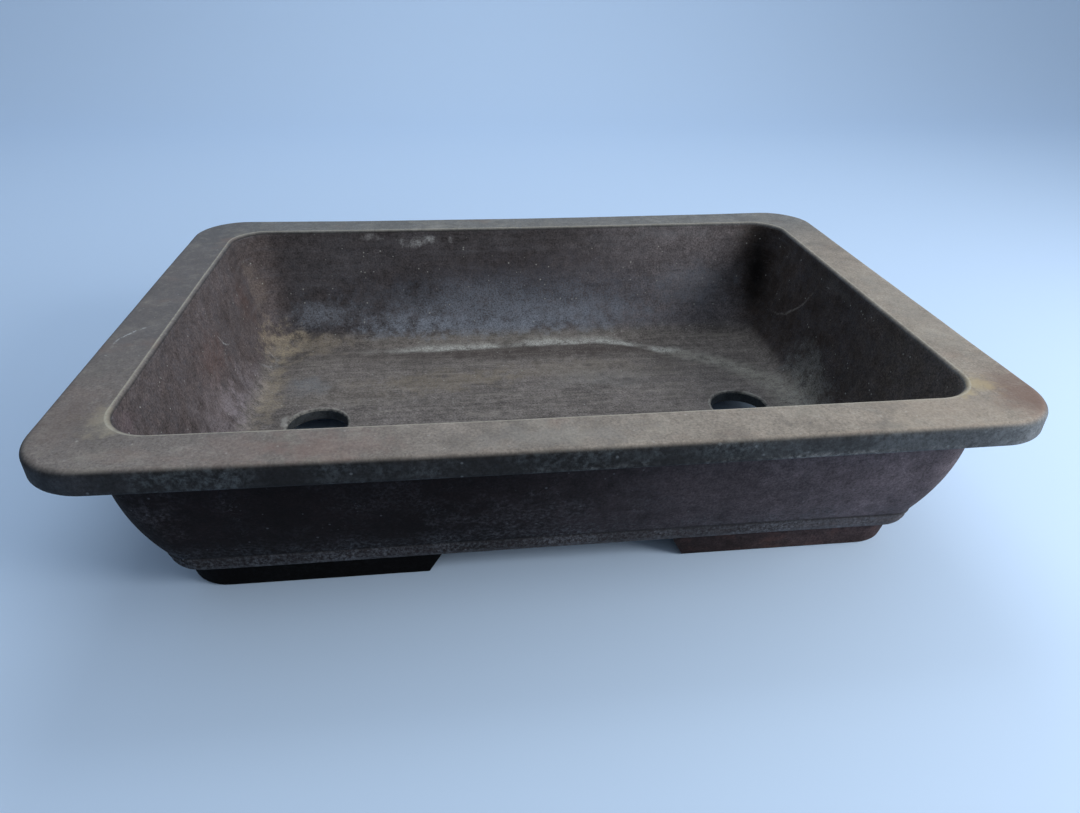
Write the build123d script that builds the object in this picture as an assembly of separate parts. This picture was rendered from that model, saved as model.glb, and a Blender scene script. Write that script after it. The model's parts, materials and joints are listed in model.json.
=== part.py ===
from build123d import *
import math
import os

# Bonsai pot: an unglazed stoneware tray with a broad flat rim, a convex wall,
# a base band and four corner feet.  The potter cuts the floor, the walls, the rim
# members, the band strips and the feet from sheets of clay and joins them with slip.
# Frame: +X along the length, +Y to the back, +Z up.  The origin is on the ground,
# under the middle of the pot.  Millimetres.

# ---- Overall size ----
LENGTH = 450.0
WIDTH = 314.0
HEIGHT = 100.0

# ---- Rim: a flat frame that overhangs the wall ----
RIM_THICKNESS = 12.0
RIM_WIDTH_SIDE = 26.0
RIM_WIDTH_END = 28.5
RIM_CORNER_RADIUS = 30.0
OPENING_CORNER_RADIUS = 22.0
RIM_TOP_ARRIS = 3.0
RIM_LOWER_ARRIS = 1.8
RIM_INNER_ARRIS = 2.2

# ---- Wall: convex outside, drafted inside, with a wide cove down to the floor ----
WALL_TOP_INSET = 18.5
WALL_FOOT_INSET = 33.0
WALL_CURVE_POWER = 2.0
WALL_TOP_RADIUS = 30.0
WALL_FOOT_RADIUS = 16.5
WALL_FOOT_THICKNESS = 10.0
COVE_SIDE = 25.0
COVE_END = 12.0
COVE_HEIGHT = 24.0
FLOOR_CORNER_RADIUS = 18.0

# ---- Floor, base band and feet, from the ground up ----
FOOT_HEIGHT = 15.0
FLOOR_THICKNESS = 8.0
FLOOR_MARGIN_RISE = 1.3
BAND_DRAFT = 0.7
BAND_EDGE = 3.0
BAND_LOWER_RADIUS = 18.0
FLOOR_SLAB_RADIUS = 10.0

# ---- Feet: L-shaped corner brackets with slanting ends ----
FOOT_TOP_INSET = 37.0
FOOT_DRAFT = 2.0
FOOT_EDGE = 1.6
FOOT_WIDTH = 21.0
FOOT_CORNER_RADIUS = 22.0
FOOT_INNER_RADIUS = 6.0
FOOT_GAP_SIDE = 117.0
FOOT_GAP_END = 82.0
FOOT_END_SLANT = 8.0

# ---- Drain holes: one near each end of the floor ----
DRAIN_HOLE_DIAMETER = 36.0
DRAIN_HOLE_FROM_END = 91.5
DRAIN_HOLE_SHIFT_Y = -7.0
DRAIN_HOLE_ARRIS = 0.9

# ---- Levels and insets that follow from the sizes above ----
FLOOR_TOP = FOOT_HEIGHT + FLOOR_THICKNESS
WALL_FOOT = FLOOR_TOP + FLOOR_MARGIN_RISE
RIM_UNDERSIDE = HEIGHT - RIM_THICKNESS
COVE_TOP = FLOOR_TOP + COVE_HEIGHT
INNER_FOOT_INSET = WALL_FOOT_INSET + WALL_FOOT_THICKNESS
FOOT_INNER_INSET = FOOT_TOP_INSET + FOOT_WIDTH
DRAIN_HOLE_X = LENGTH / 2 - DRAIN_HOLE_FROM_END

# ---- How finely the curved faces are laid out, and how close a radius counts as the same ----
WALL_LEVELS = 6
COVE_LEVELS = 6
BAND_EDGE_LEVELS = 4
RADIUS_TOLERANCE = 0.01


def outline(height, inset_end, inset_side, radius):
    """A rounded rectangle at one height, set in from the pot's overall length and width."""
    face = RectangleRounded(LENGTH - 2 * inset_end, WIDTH - 2 * inset_side, radius)
    return Pos(0, 0, height) * face


def prism(bottom, top, inset_end, inset_side, radius):
    """An upright block between two heights, with a rounded rectangle as its plan."""
    return extrude(outline(bottom, inset_end, inset_side, radius), top - bottom)


def between(start, end, share):
    """The value a given share of the way from start to end."""
    return start + (end - start) * share


def mitre_wedge(side):
    """The part of space that one side's members fill, cut at 45 degrees through the corners."""
    reach = max(LENGTH, WIDTH)
    ridge = (LENGTH - WIDTH) / 2
    far = ridge + reach
    outlines = {
        "front": [(-ridge, 0), (-far, -reach), (far, -reach), (ridge, 0)],
        "back": [(-ridge, 0), (ridge, 0), (far, reach), (-far, reach)],
        "left": [(-ridge, 0), (-far, reach), (-far, -reach)],
        "right": [(ridge, 0), (far, -reach), (far, reach)],
    }
    plan = make_face(Polyline(*outlines[side], close=True))
    return extrude(plan, HEIGHT)


def inner_insets(height):
    """How far the inner face stands in from the ends and from the sides at one height.

    The face is straight from the rim down to the cove.  The cove is a quarter of an
    ellipse that turns it into the floor.
    """
    fall = (RIM_UNDERSIDE - height) / (RIM_UNDERSIDE - FLOOR_TOP)
    lift = max(COVE_TOP - height, 0) / COVE_HEIGHT
    reach = 1 - math.sqrt(max(1 - lift**2, 0))
    end = between(RIM_WIDTH_END, INNER_FOOT_INSET, fall) + COVE_END * reach
    side = between(RIM_WIDTH_SIDE, INNER_FOOT_INSET, fall) + COVE_SIDE * reach
    return end, side


def basin_outline(height):
    """The basin's plan at one height between the floor and the rim's underside."""
    end, side = inner_insets(height)
    share = (height - FLOOR_TOP) / (RIM_UNDERSIDE - FLOOR_TOP)
    return outline(height, end, side, between(FLOOR_CORNER_RADIUS, OPENING_CORNER_RADIUS, share))


def basin():
    """The hollow inside the pot, below the rim."""
    cove = []
    for level in range(COVE_LEVELS + 1):
        turn = math.radians(90 * level / COVE_LEVELS)
        cove.append(basin_outline(COVE_TOP - COVE_HEIGHT * math.cos(turn)))
    upper = [basin_outline(COVE_TOP), basin_outline(RIM_UNDERSIDE)]
    return loft(cove) + loft(upper, ruled=True)


def wall_block():
    """The wall's outer shape, solid: an inset that falls away as a power of the height."""
    sections = []
    for level in range(WALL_LEVELS + 1):
        share = level / WALL_LEVELS
        inset = WALL_TOP_INSET + (WALL_FOOT_INSET - WALL_TOP_INSET) * (1 - share) ** WALL_CURVE_POWER
        radius = between(WALL_FOOT_RADIUS, WALL_TOP_RADIUS, share)
        sections.append(outline(between(WALL_FOOT, RIM_UNDERSIDE, share), inset, inset, radius))
    return loft(sections)


def wall_ring():
    """All four walls in one, from the base band up to the rim."""
    return wall_block() - basin()


def rim_ring():
    """The rim as one frame, with its three long arrises rounded."""
    outer = prism(RIM_UNDERSIDE, HEIGHT, 0, 0, RIM_CORNER_RADIUS)
    outer = fillet(outer.faces().sort_by(Axis.Z)[-1].edges(), RIM_TOP_ARRIS)
    outer = fillet(outer.faces().sort_by(Axis.Z)[0].edges(), RIM_LOWER_ARRIS)
    opening = prism(RIM_UNDERSIDE, HEIGHT, RIM_WIDTH_END, RIM_WIDTH_SIDE, OPENING_CORNER_RADIUS)
    ring = outer - opening
    inner_arris = ring.faces().sort_by(Axis.Z)[-1].inner_wires()[0].edges()
    return fillet(inner_arris, RIM_INNER_ARRIS)


def band_ring():
    """The base band as one frame: a drafted face that turns under in a quarter round."""
    edge_top = FOOT_HEIGHT + BAND_EDGE
    lower_inset = WALL_FOOT_INSET + BAND_DRAFT
    top = outline(WALL_FOOT, WALL_FOOT_INSET, WALL_FOOT_INSET, WALL_FOOT_RADIUS)
    face = loft([outline(edge_top, lower_inset, lower_inset, BAND_LOWER_RADIUS), top], ruled=True)
    rounding = []
    for level in range(BAND_EDGE_LEVELS + 1):
        turn = math.radians(90 * level / BAND_EDGE_LEVELS)
        inset = lower_inset + BAND_EDGE * (1 - math.sin(turn))
        height = edge_top - BAND_EDGE * math.cos(turn)
        rounding.append(outline(height, inset, inset, BAND_LOWER_RADIUS))
    hollow = prism(FOOT_HEIGHT, WALL_FOOT, INNER_FOOT_INSET, INNER_FOOT_INSET, FLOOR_SLAB_RADIUS)
    return loft(rounding) + face - hollow


def floor_slab():
    """The floor: a tray whose margin turns up into the cove, with two drain holes."""
    slab = prism(FOOT_HEIGHT, WALL_FOOT, INNER_FOOT_INSET, INNER_FOOT_INSET, FLOOR_SLAB_RADIUS)
    slab -= basin()
    radius = DRAIN_HOLE_DIAMETER / 2
    for x in (-DRAIN_HOLE_X, DRAIN_HOLE_X):
        middle = Pos(x, DRAIN_HOLE_SHIFT_Y, FOOT_HEIGHT + FLOOR_THICKNESS / 2)
        slab -= middle * Cylinder(radius, FLOOR_THICKNESS)
    round_edges = slab.edges().filter_by(GeomType.CIRCLE)
    drain_edges = [edge for edge in round_edges if abs(edge.radius - radius) < RADIUS_TOLERANCE]
    return chamfer(drain_edges, DRAIN_HOLE_ARRIS)


def foot_ring():
    """The four feet's shared outer and inner faces, before the gaps are cut between them."""
    lower_inset = FOOT_TOP_INSET + FOOT_DRAFT
    sole_inset = lower_inset + FOOT_EDGE
    top = outline(FOOT_HEIGHT, FOOT_TOP_INSET, FOOT_TOP_INSET, FOOT_CORNER_RADIUS)
    lower = outline(FOOT_EDGE, lower_inset, lower_inset, FOOT_CORNER_RADIUS)
    sole = outline(0, sole_inset, sole_inset, FOOT_CORNER_RADIUS)
    hollow = prism(0, FOOT_HEIGHT, FOOT_INNER_INSET, FOOT_INNER_INSET, FOOT_INNER_RADIUS)
    return loft([sole, lower, top], ruled=True) - hollow


def foot_quarter(side_x, side_y):
    """The corner that one foot fills: its two inner faces slant outwards as they go down."""
    sections = []
    for height, slant in ((0, FOOT_END_SLANT), (FOOT_HEIGHT, 0)):
        near_x = FOOT_GAP_SIDE / 2 + slant
        near_y = FOOT_GAP_END / 2 + slant
        size_x = LENGTH - near_x
        size_y = WIDTH - near_y
        centre = Pos(side_x * (near_x + size_x / 2), side_y * (near_y + size_y / 2), height)
        sections.append(centre * Rectangle(size_x, size_y))
    return loft(sections, ruled=True)


def write_piece(name, solid):
    """Name one piece and write it to its own STEP file."""
    solid.label = name
    export_step(solid, f"parts/{name}.step")


def main():
    os.makedirs("parts", exist_ok=True)
    write_piece("floor_slab", floor_slab())
    for kind, ring in (("rim", rim_ring()), ("wall", wall_ring()), ("base_band", band_ring())):
        for side in ("front", "back", "left", "right"):
            write_piece(f"{kind}_{side}", ring & mitre_wedge(side))
    feet = foot_ring()
    for row, side_y in (("front", -1), ("back", 1)):
        for end, side_x in (("left", -1), ("right", 1)):
            write_piece(f"foot_{row}_{end}", feet & foot_quarter(side_x, side_y))


main()
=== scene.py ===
import json
import math

import bmesh
import bpy
import numpy as np
from mathutils import Matrix, Vector


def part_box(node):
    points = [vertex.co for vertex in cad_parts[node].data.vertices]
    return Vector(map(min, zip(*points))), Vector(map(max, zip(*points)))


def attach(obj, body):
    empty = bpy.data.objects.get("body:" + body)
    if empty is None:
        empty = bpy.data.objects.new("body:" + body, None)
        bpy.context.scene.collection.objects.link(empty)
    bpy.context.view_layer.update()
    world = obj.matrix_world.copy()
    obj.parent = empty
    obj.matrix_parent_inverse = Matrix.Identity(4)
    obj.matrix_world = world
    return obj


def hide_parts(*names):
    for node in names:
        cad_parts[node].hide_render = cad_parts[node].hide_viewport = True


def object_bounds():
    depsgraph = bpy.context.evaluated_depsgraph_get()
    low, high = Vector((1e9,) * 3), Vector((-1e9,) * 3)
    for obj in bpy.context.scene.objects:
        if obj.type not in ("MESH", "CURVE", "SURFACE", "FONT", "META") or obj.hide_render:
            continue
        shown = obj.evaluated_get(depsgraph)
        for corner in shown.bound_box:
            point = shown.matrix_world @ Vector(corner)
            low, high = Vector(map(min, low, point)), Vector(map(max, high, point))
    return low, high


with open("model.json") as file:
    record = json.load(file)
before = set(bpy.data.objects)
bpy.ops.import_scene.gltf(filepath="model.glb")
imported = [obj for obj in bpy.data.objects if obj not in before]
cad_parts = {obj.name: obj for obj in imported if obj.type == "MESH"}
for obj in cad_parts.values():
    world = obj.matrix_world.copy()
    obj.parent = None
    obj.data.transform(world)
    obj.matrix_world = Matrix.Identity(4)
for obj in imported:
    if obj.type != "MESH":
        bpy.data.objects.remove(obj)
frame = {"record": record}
CAD_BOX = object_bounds()

# An unglazed stoneware bonsai pot. Every member is a surface worked out with numpy:
# a profile carried round the pot's rounded-rectangle plan, or a grid over the floor.
# Lengths are in metres, and x runs to the right, y to the back and z up.
MM = 0.001

# ---- Sizes taken from the frame ----
LOW, HIGH = Vector(CAD_BOX[0]), Vector(CAD_BOX[1])
HALF_LENGTH = HIGH.x
HALF_WIDTH = HIGH.y
HEIGHT = HIGH.z
RIM_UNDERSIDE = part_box("rim_front")[0].z
WALL_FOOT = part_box("wall_front")[0].z
FLOOR_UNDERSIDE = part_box("floor_slab")[0].z
WALL_TOP_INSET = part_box("wall_front")[0].y - LOW.y
WALL_FOOT_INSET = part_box("base_band_front")[0].y - LOW.y
SLAB_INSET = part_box("floor_slab")[0].y - LOW.y
FOOT_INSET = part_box("foot_front_right")[0].y - LOW.y
FOOT_GAP_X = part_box("foot_front_right")[0].x
FOOT_GAP_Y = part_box("foot_back_right")[0].y
DRAIN_HOLES = [m for m in frame["record"]["mounts"] if m["kind"] == "bore"]

# ---- Sizes inside those boxes ----
RIM_WIDTH_SIDE = 26.0 * MM
RIM_WIDTH_END = 28.5 * MM
RIM_OUTER_RADIUS = 30.0 * MM
OPENING_RADIUS = 22.0 * MM
RIM_TOP_ARRIS = 3.0 * MM
RIM_LOWER_ARRIS = 1.8 * MM
RIM_INNER_ARRIS = 1.7 * MM
WALL_TOP_RADIUS = 30.0 * MM
WALL_FOOT_RADIUS = 16.5 * MM
COVE_SIDE = 25.0 * MM
COVE_END = 12.0 * MM
COVE_HEIGHT = 24.0 * MM
FLOOR_RADIUS = 18.0 * MM
FLOOR_TOP = FLOOR_UNDERSIDE + 8.0 * MM
DRAFT_STARTS = 93.0 * MM
DRAFT_SOFTNESS = 5.0 * MM
BAND_DRAFT = 0.7 * MM
BAND_EDGE = 3.0 * MM
BAND_RADIUS = 18.0 * MM
SLAB_RADIUS = 10.0 * MM
FOOT_DRAFT = 2.0 * MM
FOOT_EDGE = 1.6 * MM
FOOT_WIDTH = 21.0 * MM
FOOT_RADIUS = 22.0 * MM
FOOT_INNER_RADIUS = 6.0 * MM
FOOT_END_SLANT = 8.0 * MM
DRAIN_ARRIS = 1.3 * MM
DRAIN_WEAR = 1.6 * MM

# ---- How the clay strays from true: kept inside the CAD box by a small shrink ----
SHRINK = 0.2 * MM
RIM_SAG = 1.4 * MM
TRUE_SOLE = 12 * MM

# Waves in every face: how long they are, how high, and a seed of their own.
WAVES = ((130 * MM, 0.24 * MM, 3), (38 * MM, 0.112 * MM, 11), (9 * MM, 0.028 * MM, 29))

# Finger dents in the front wall near its left end: centre, reach and depth in millimetres.
DENTS = (
    ((-176, -128, 58), (7, 12, 5), 0.9),
    ((-158, -126, 46), (9, 12, 4), 0.7),
    ((-186, -130, 72), (10, 12, 4), 0.6),
    ((-130, -126, 62), (16, 12, 9), 0.5),
)

# ---- How the meshes are divided ----
GRID = 2.4 * MM
ARC_STEPS = 14
GUARD_ANGLE = 0.25
GUARD = 0.8 * MM
WIDE_GUARD = 1.2 * MM
WELD_GAP = 0.002 * MM
SHARP_ANGLE = math.radians(38)
HOLE_CELLS = 8
BLOCK_CELLS = 14
RING_GROWTH = 0.1
SIDES = ("front", "right", "back", "left")

# Marks kept at every point: worn edges, faces that look up, and the inside of the basin.
MARKS = ("arris", "upward", "inside")


# ------------------------------------------------------------------ clay surface
def smooth_step(low, high, value):
    """0 below low, 1 above high, and an S-shaped curve between them."""
    share = np.clip((value - low) / (high - low), 0, 1)
    return share * share * (3 - 2 * share)


def lattice_value(cell, seed):
    """A repeatable random value from -1 to 1 for each whole-number cell."""
    key = cell[..., 0] * 374761393 + cell[..., 1] * 668265263 + cell[..., 2] * 1442695041
    key = (key + seed * 974634777) & 0xFFFFFFFF
    key = ((key ^ (key >> 13)) * 1274126177) & 0xFFFFFFFF
    return ((key ^ (key >> 16)) & 0xFFFF) / 32767.5 - 1


def clay_noise(points, size, seed):
    """Smooth random values: a lattice of random values, blended by a smooth step along each axis."""
    scaled = points / size + 1000
    cell = np.floor(scaled).astype(np.int64)
    share = scaled - cell
    share = share * share * (3 - 2 * share)
    total = np.zeros(len(points))
    for corner in np.ndindex(2, 2, 2):
        weight = np.prod(np.where(corner, share, 1 - share), axis=1)
        total += weight * lattice_value(cell + np.array(corner), seed)
    return total


def hand_made(points):
    """Bends true points the way the clay went: the long rims sag and every face wanders a little.

    The same point always moves the same way, so members that touch still touch.
    """
    span = np.array([HALF_LENGTH, HALF_WIDTH, HEIGHT])
    moved = points * (1 - SHRINK / span)
    off_ground = smooth_step(0, TRUE_SOLE, points[:, 2])
    for size, amount, seed in WAVES:
        for axis in range(3):
            lift = off_ground if axis == 2 else 1
            moved[:, axis] += amount * lift * clay_noise(points, size, seed + axis)
    along = np.clip(1 - (points[:, 0] / HALF_LENGTH) ** 2, 0, 1)
    near_side = np.abs(points[:, 1]) / HALF_WIDTH
    height = points[:, 2] / HEIGHT
    moved[:, 2] -= RIM_SAG * along * near_side**2 * height**2
    for centre, reach, depth in DENTS:
        away = np.linalg.norm((points - np.array(centre) * MM) / (np.array(reach) * MM), axis=1)
        moved[:, 1] += depth * MM * np.exp(-(away**2)) * np.sign(-points[:, 1])
    return np.clip(moved, np.array(LOW), np.array(HIGH))


# ------------------------------------------------------------------ mesh making
def signed_volume(points, faces):
    """Volume inside the faces, positive where they point outwards."""
    total = 0.0
    for face in faces:
        corner = points[face]
        fan = np.cross(corner[1:-1] - corner[0], corner[2:] - corner[0])
        total += float(np.sum(fan * corner[0])) / 6
    return total


def quad_volume(points, quads):
    """The same for an array of four-cornered faces."""
    a, b, c, d = (points[quads[:, k]] for k in range(4))
    return float(np.sum(np.cross(b - a, c - a) * a) + np.sum(np.cross(c - a, d - a) * a)) / 6


def make_piece(name, node, points, quads, caps, marks, material):
    """A closed, welded mesh with its marks as attributes, riding on the body in its node's place."""
    volume = quad_volume(points, quads) + signed_volume(points, caps)
    if volume < 0:
        quads = quads[:, ::-1]
        caps = [cap[::-1] for cap in caps]
    mesh = bpy.data.meshes.new(name)
    faces = quads.tolist() + [cap.tolist() for cap in caps]
    mesh.from_pydata(hand_made(points).tolist(), [], faces)
    for k, mark in enumerate(MARKS):
        layer = mesh.attributes.new(mark, "FLOAT", "POINT")
        layer.data.foreach_set("value", marks[:, k].astype(np.float32))
    weld = bmesh.new()
    weld.from_mesh(mesh)
    bmesh.ops.remove_doubles(weld, verts=weld.verts, dist=WELD_GAP)
    weld.to_mesh(mesh)
    weld.free()
    mesh.validate()
    mesh.shade_smooth()
    mesh.set_sharp_from_angle(angle=SHARP_ANGLE)
    mesh.materials.append(material)
    piece = bpy.data.objects.new(name, mesh)
    bpy.context.scene.collection.objects.link(piece)
    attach(piece, "root")
    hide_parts(node)
    return piece


def grid_faces(rows, columns, closed_rows):
    """Four-cornered faces between neighbouring rows and columns of a grid of points."""
    row_count = rows if closed_rows else rows - 1
    i, j = np.meshgrid(np.arange(row_count), np.arange(columns - 1), indexing="ij")
    nearby = (i + 1) % rows
    corners = (i * columns + j, i * columns + j + 1, nearby * columns + j + 1, nearby * columns + j)
    return np.stack([c.ravel() for c in corners], axis=1)


# ------------------------------------------------------------------ profiles
def rows(z, side, end, radius, arris=0.0, upward=0.0, inside=0.0):
    """Rows of a profile: height, inset from the sides, inset from the ends, corner radius and marks."""
    parts = np.broadcast_arrays(*np.atleast_1d(z, side, end, radius, arris, upward, inside))
    return np.stack(parts, axis=1).astype(float)


def quarter_round(start, finish, steps):
    """Sines and cosines from one angle to another, in degrees, for a rounded edge."""
    turn = np.radians(np.linspace(start, finish, steps))
    return np.sin(turn), np.cos(turn)


def inner_insets(z):
    """Inner face: upright at the rim, then drafted, then a quarter-ellipse cove into the floor."""
    depth = DRAFT_STARTS - z
    fall = 0.5 * (depth + np.sqrt(depth**2 + DRAFT_SOFTNESS**2)) / (DRAFT_STARTS - FLOOR_TOP)
    lift = np.clip((FLOOR_TOP + COVE_HEIGHT - z) / COVE_HEIGHT, 0, 1)
    reach = 1 - np.sqrt(1 - lift**2)
    side = RIM_WIDTH_SIDE + (SLAB_INSET - RIM_WIDTH_SIDE) * fall + COVE_SIDE * reach
    end = RIM_WIDTH_END + (SLAB_INSET - RIM_WIDTH_END) * fall + COVE_END * reach
    return side, end


def inner_rows(z):
    """Rows of the basin's inner face at the given heights."""
    side, end = inner_insets(z)
    share = (z - FLOOR_TOP) / (RIM_UNDERSIDE - FLOOR_TOP)
    return rows(z, side, end, FLOOR_RADIUS + (OPENING_RADIUS - FLOOR_RADIUS) * share, inside=1.0)


def rim_profile():
    """The rim's section: outer face, rounded arris, flat top, worn inner arris, inner face, underside."""
    scale = RIM_WIDTH_END / RIM_WIDTH_SIDE
    shrink = (RIM_OUTER_RADIUS - OPENING_RADIUS) / RIM_WIDTH_SIDE

    def at(z, inset, **marks):
        return rows(z, inset, inset * scale, RIM_OUTER_RADIUS - inset * shrink, **marks)

    sine, cosine = quarter_round(0, 90, 7)
    low_arris = at(RIM_UNDERSIDE + RIM_LOWER_ARRIS * (1 - cosine), RIM_LOWER_ARRIS * (1 - sine), arris=0.55)
    face_low, face_high = RIM_UNDERSIDE + RIM_LOWER_ARRIS + GUARD, HEIGHT - RIM_TOP_ARRIS - GUARD
    face = at(np.linspace(face_low, face_high, 6), 0.0)
    sine, cosine = quarter_round(0, 90, 10)
    top_arris = at(HEIGHT - RIM_TOP_ARRIS * (1 - sine), RIM_TOP_ARRIS * (1 - cosine),
                   arris=0.5, upward=np.linspace(0, 1, 10))
    top_out, top_in = RIM_TOP_ARRIS + WIDE_GUARD, RIM_WIDTH_SIDE - RIM_INNER_ARRIS - WIDE_GUARD
    top = at(HEIGHT, np.linspace(top_out, top_in, 10), upward=1.0)
    sine, cosine = quarter_round(0, 90, 8)
    inner_arris = at(HEIGHT - RIM_INNER_ARRIS * (1 - cosine), RIM_WIDTH_SIDE - RIM_INNER_ARRIS * (1 - sine),
                     arris=1.0, upward=np.linspace(1, 0.3, 8), inside=np.linspace(0, 0.4, 8))
    inner = inner_rows(np.linspace(HEIGHT - RIM_INNER_ARRIS - 0.6 * MM, RIM_UNDERSIDE, 6))
    under = at(RIM_UNDERSIDE, np.linspace(RIM_WIDTH_SIDE - 1 * MM, RIM_LOWER_ARRIS + 0.5 * MM, 7))
    return np.vstack([low_arris, face, top_arris, top, inner_arris, inner, under])


def wall_profile():
    """The wall's section: convex outside, flat under the rim, drafted inside, flat on the band."""
    share = np.concatenate([[0, 0.006], np.linspace(0.03, 1, 28)])
    inset = WALL_TOP_INSET + (WALL_FOOT_INSET - WALL_TOP_INSET) * (1 - share) ** 2
    radius = WALL_FOOT_RADIUS + (WALL_TOP_RADIUS - WALL_FOOT_RADIUS) * share
    outer = rows(WALL_FOOT + (RIM_UNDERSIDE - WALL_FOOT) * share, inset, inset, radius)
    straight = np.linspace(RIM_UNDERSIDE, FLOOR_TOP + COVE_HEIGHT, 16)[:-1]
    cosine = quarter_round(90, 0, 22)[1]
    cove = FLOOR_TOP + COVE_HEIGHT * (1 - cosine)
    cove = np.concatenate([cove[cove > WALL_FOOT + 0.3 * MM], [WALL_FOOT + 0.1 * MM, WALL_FOOT]])
    return np.vstack([outer, inner_rows(straight), inner_rows(cove)])


def band_profile():
    """The band's section: a worn top edge, a drafted face, a quarter round under it, then hidden faces."""
    top_height = WALL_FOOT - np.array([0, 0.25, 0.9, 1.8]) * MM
    top_inset = WALL_FOOT_INSET + np.array([0.7, 0.2, 0.02, 0]) * MM
    top = rows(top_height, top_inset, top_inset, WALL_FOOT_RADIUS, arris=[0.3, 0.5, 0.2, 0])
    low_inset = WALL_FOOT_INSET + BAND_DRAFT
    face_height = np.linspace(WALL_FOOT - 2.8 * MM, FLOOR_UNDERSIDE + BAND_EDGE + 0.5 * MM, 4)
    face = rows(face_height, low_inset - 0.3 * MM, low_inset - 0.3 * MM, BAND_RADIUS)
    sine, cosine = quarter_round(90, 0, 9)
    edge_inset = low_inset + BAND_EDGE * (1 - sine)
    edge = rows(FLOOR_UNDERSIDE + BAND_EDGE * (1 - cosine), edge_inset, edge_inset, BAND_RADIUS, arris=0.7)
    hidden_inset = [low_inset + 5 * MM, SLAB_INSET, SLAB_INSET]
    hidden = rows([FLOOR_UNDERSIDE, FLOOR_UNDERSIDE, WALL_FOOT], hidden_inset, hidden_inset, SLAB_RADIUS)
    return np.vstack([top, face, edge, hidden])


# ------------------------------------------------------------------ members along one side
def side_columns(straight, guard=True):
    """Columns along one side: an eighth turn, the straight, an eighth turn.

    Each column has an angle on the corner's arc and a place from -1 to 1 along the straight.
    """
    arc = np.linspace(-45, 0, ARC_STEPS + 1)[:-1]
    if guard:
        arc = np.concatenate([[-45, -45 + GUARD_ANGLE], arc[1:]])
    steps = max(int(round(straight / GRID)), 2)
    place = np.linspace(-1, 1, steps + 1)
    angle = np.concatenate([arc, np.zeros(steps + 1), -arc[::-1]])
    place = np.concatenate([-np.ones(len(arc)), place, np.ones(len(arc))])
    return np.radians(angle), place


def side_points(side, profile, angle, place):
    """Points of one side: each profile row runs along its own straight and round its own corner arcs."""
    z, inset_side, inset_end, radius = (profile[:, k, None] for k in range(4))
    half_x, half_y = HALF_LENGTH - inset_end, HALF_WIDTH - inset_side
    long_side = side in ("front", "back")
    half_along, half_out = (half_x, half_y) if long_side else (half_y, half_x)
    along = place * (half_along - radius) + radius * np.sin(angle)
    out = half_out - radius + radius * np.cos(angle)
    turned = {"front": (along, -out), "right": (out, along), "back": (-along, out), "left": (-out, -along)}
    x, y = turned[side]
    return np.stack([x, y, np.broadcast_to(z, x.shape)], axis=2)


def build_member(kind, side, profile, material):
    """One mitred member: its closed profile carried along one side of the pot."""
    long_side = side in ("front", "back")
    straight = 2 * (HALF_LENGTH if long_side else HALF_WIDTH) - 2 * RIM_OUTER_RADIUS
    angle, place = side_columns(straight)
    points = side_points(side, profile, angle, place)
    count, columns = points.shape[:2]
    quads = grid_faces(count, columns, closed_rows=True)
    caps = [np.arange(count) * columns, (np.arange(count) * columns + columns - 1)[::-1]]
    marks = np.repeat(profile[:, 4:7], columns, axis=0)
    name = f"{kind}_{side}_clay"
    return make_piece(name, f"{kind}_{side}", points.reshape(-1, 3), quads, caps, marks, material)


# ------------------------------------------------------------------ feet
def foot_profile():
    """A foot's section, from the top of its outer face round the sole to the top of its inner face."""
    low_inset = FOOT_INSET + FOOT_DRAFT
    inner_inset = FOOT_INSET + FOOT_WIDTH
    height = np.linspace(FLOOR_UNDERSIDE, FOOT_EDGE + 0.6 * MM, 8)
    drift = FOOT_INSET + FOOT_DRAFT * (FLOOR_UNDERSIDE - height) / (FLOOR_UNDERSIDE - FOOT_EDGE)
    outer = rows(height, drift, drift, FOOT_RADIUS)
    sine, cosine = quarter_round(0, 90, 6)
    edge_inset = low_inset + FOOT_EDGE * (1 - cosine)
    edge = rows(FOOT_EDGE * (1 - sine), edge_inset, edge_inset, FOOT_RADIUS, arris=0.8)
    sole_inset = np.linspace(low_inset + FOOT_EDGE + 1 * MM, inner_inset - 2 * MM, 6)
    share = (sole_inset - low_inset) / (inner_inset - low_inset)
    sole = rows(0.0, sole_inset, sole_inset, FOOT_RADIUS + (FOOT_INNER_RADIUS - FOOT_RADIUS) * share)
    worn_inset = inner_inset - np.array([1.0, 0.3, 0]) * MM
    inner_edge = rows([0.0, 0.3 * MM, 1.0 * MM], worn_inset, worn_inset, FOOT_INNER_RADIUS, arris=0.5)
    inner = rows(np.linspace(2 * MM, FLOOR_UNDERSIDE, 6), inner_inset, inner_inset, FOOT_INNER_RADIUS)
    return np.vstack([outer, edge, sole, inner_edge, inner])


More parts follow.
